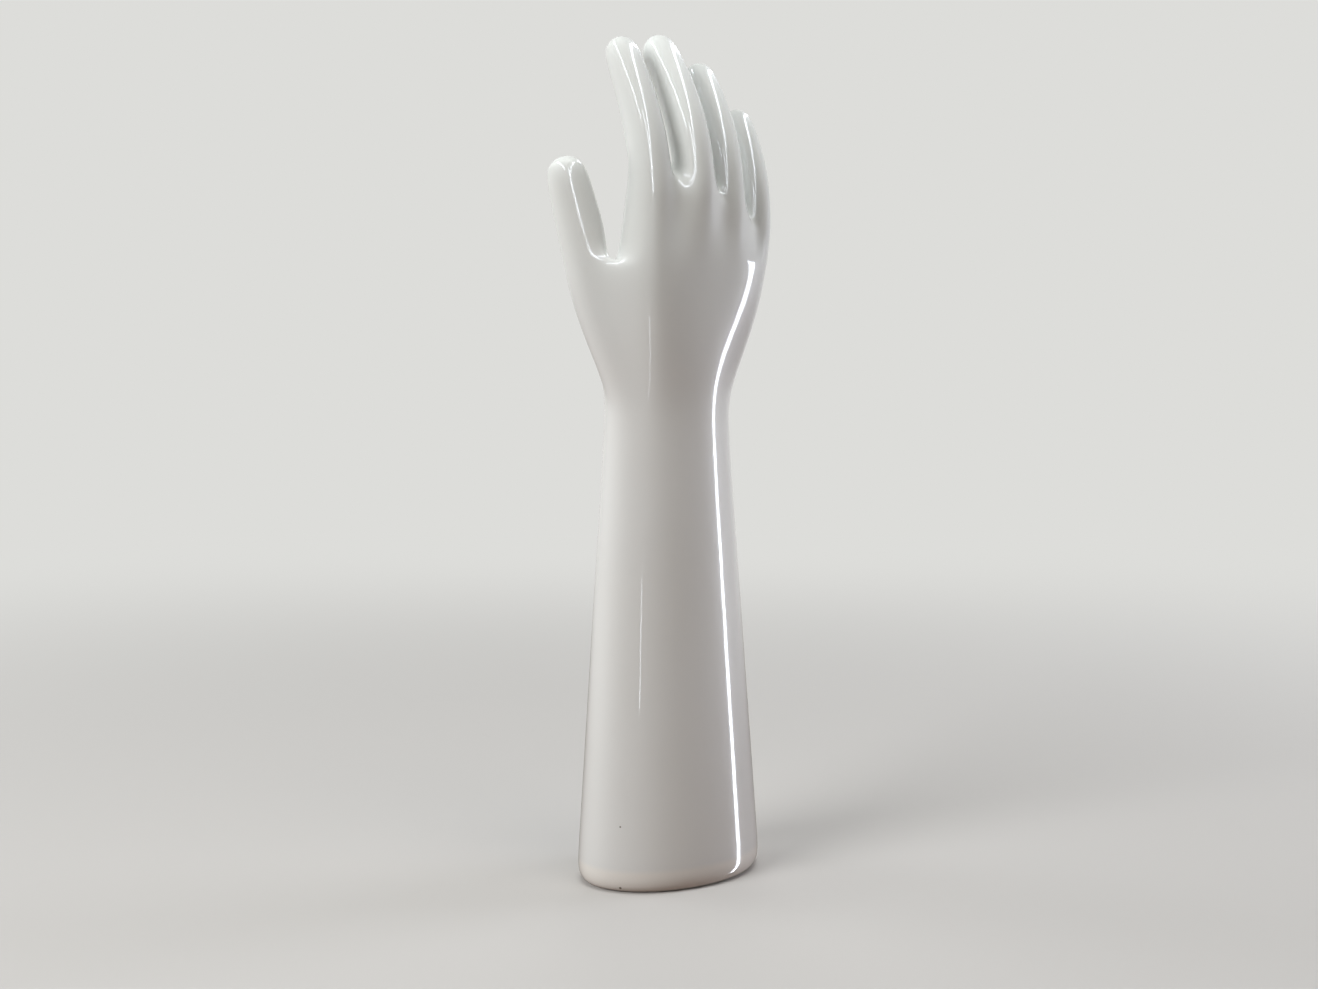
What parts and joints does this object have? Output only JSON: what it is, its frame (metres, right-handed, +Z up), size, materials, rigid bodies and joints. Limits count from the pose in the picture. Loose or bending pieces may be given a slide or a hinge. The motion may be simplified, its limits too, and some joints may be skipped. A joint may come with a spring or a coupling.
{
  "type": "hand jewelry stand",
  "caption": "Free-standing glazed porcelain forearm and upright open right hand, for holding rings, bracelets and gloves; hollow cast, open at the foot.",
  "frame": {"origin": "centre of the casting's bounding box, on the surface its foot stands on", "axes": "+Z up along the forearm, -Y out of the back of the hand, +Y out of the palm, -X towards the thumb"},
  "size_m": [0.1156, 0.0744, 0.4217],
  "materials": {
    "glazed_porcelain": "clear gloss glaze over white porcelain, bare on the land of the foot"
  },
  "bodies": {
    "root": {"porcelain_hand": "glazed_porcelain"}
  },
  "joints": []
}
